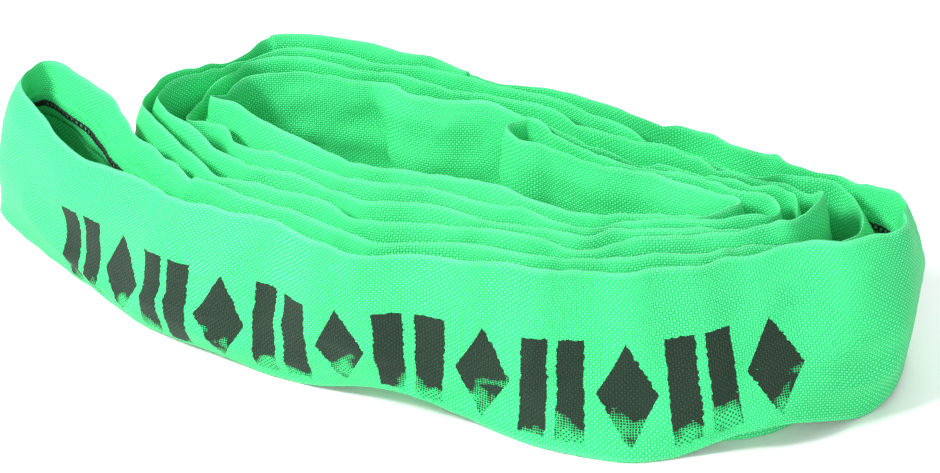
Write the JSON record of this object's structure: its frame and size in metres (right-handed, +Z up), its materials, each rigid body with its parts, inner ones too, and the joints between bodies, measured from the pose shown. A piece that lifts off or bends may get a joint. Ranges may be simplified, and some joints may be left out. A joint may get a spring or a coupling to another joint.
{
  "type": "round sling",
  "caption": "Endless soft lifting sling of woven polyester sleeve over a yarn core, wound into an oval coil standing on edge, with black chain-stitched side seam and printed load marks.",
  "frame": {"origin": "centre of the coil's box on the plane it stands on", "axes": "+X along the coil's long axis, from the open outer bight to the round end; +Y from the printed front to the back; +Z up across the width of the sleeve"},
  "size_m": [0.3158, 0.1445, 0.0558],
  "materials": {
    "sleeve_cloth": "bright green tubular polyester webbing, slightly glossy plain weave",
    "core_yarn": "undyed high-tenacity polyester yarn",
    "core_tape": "thin adhesive tape",
    "seam_thread": "black polyester sewing thread",
    "patch_cloth": "green polyester webbing, plain weave",
    "closing_thread": "black polyester sewing thread, several close rows"
  },
  "bodies": {
    "root": {"sleeve": "sleeve_cloth", "core_hank_1": "core_yarn", "core_hank_2": "core_yarn", "core_hank_3": "core_yarn", "core_hank_4": "core_yarn", "core_tape_lower": "core_tape", "core_tape_top": "core_tape", "seam_looper_thread": "seam_thread", "seam_needle_thread": "seam_thread", "closing_patch": "patch_cloth", "closing_stitch_1": "closing_thread", "closing_stitch_2": "closing_thread"}
  },
  "joints": []
}
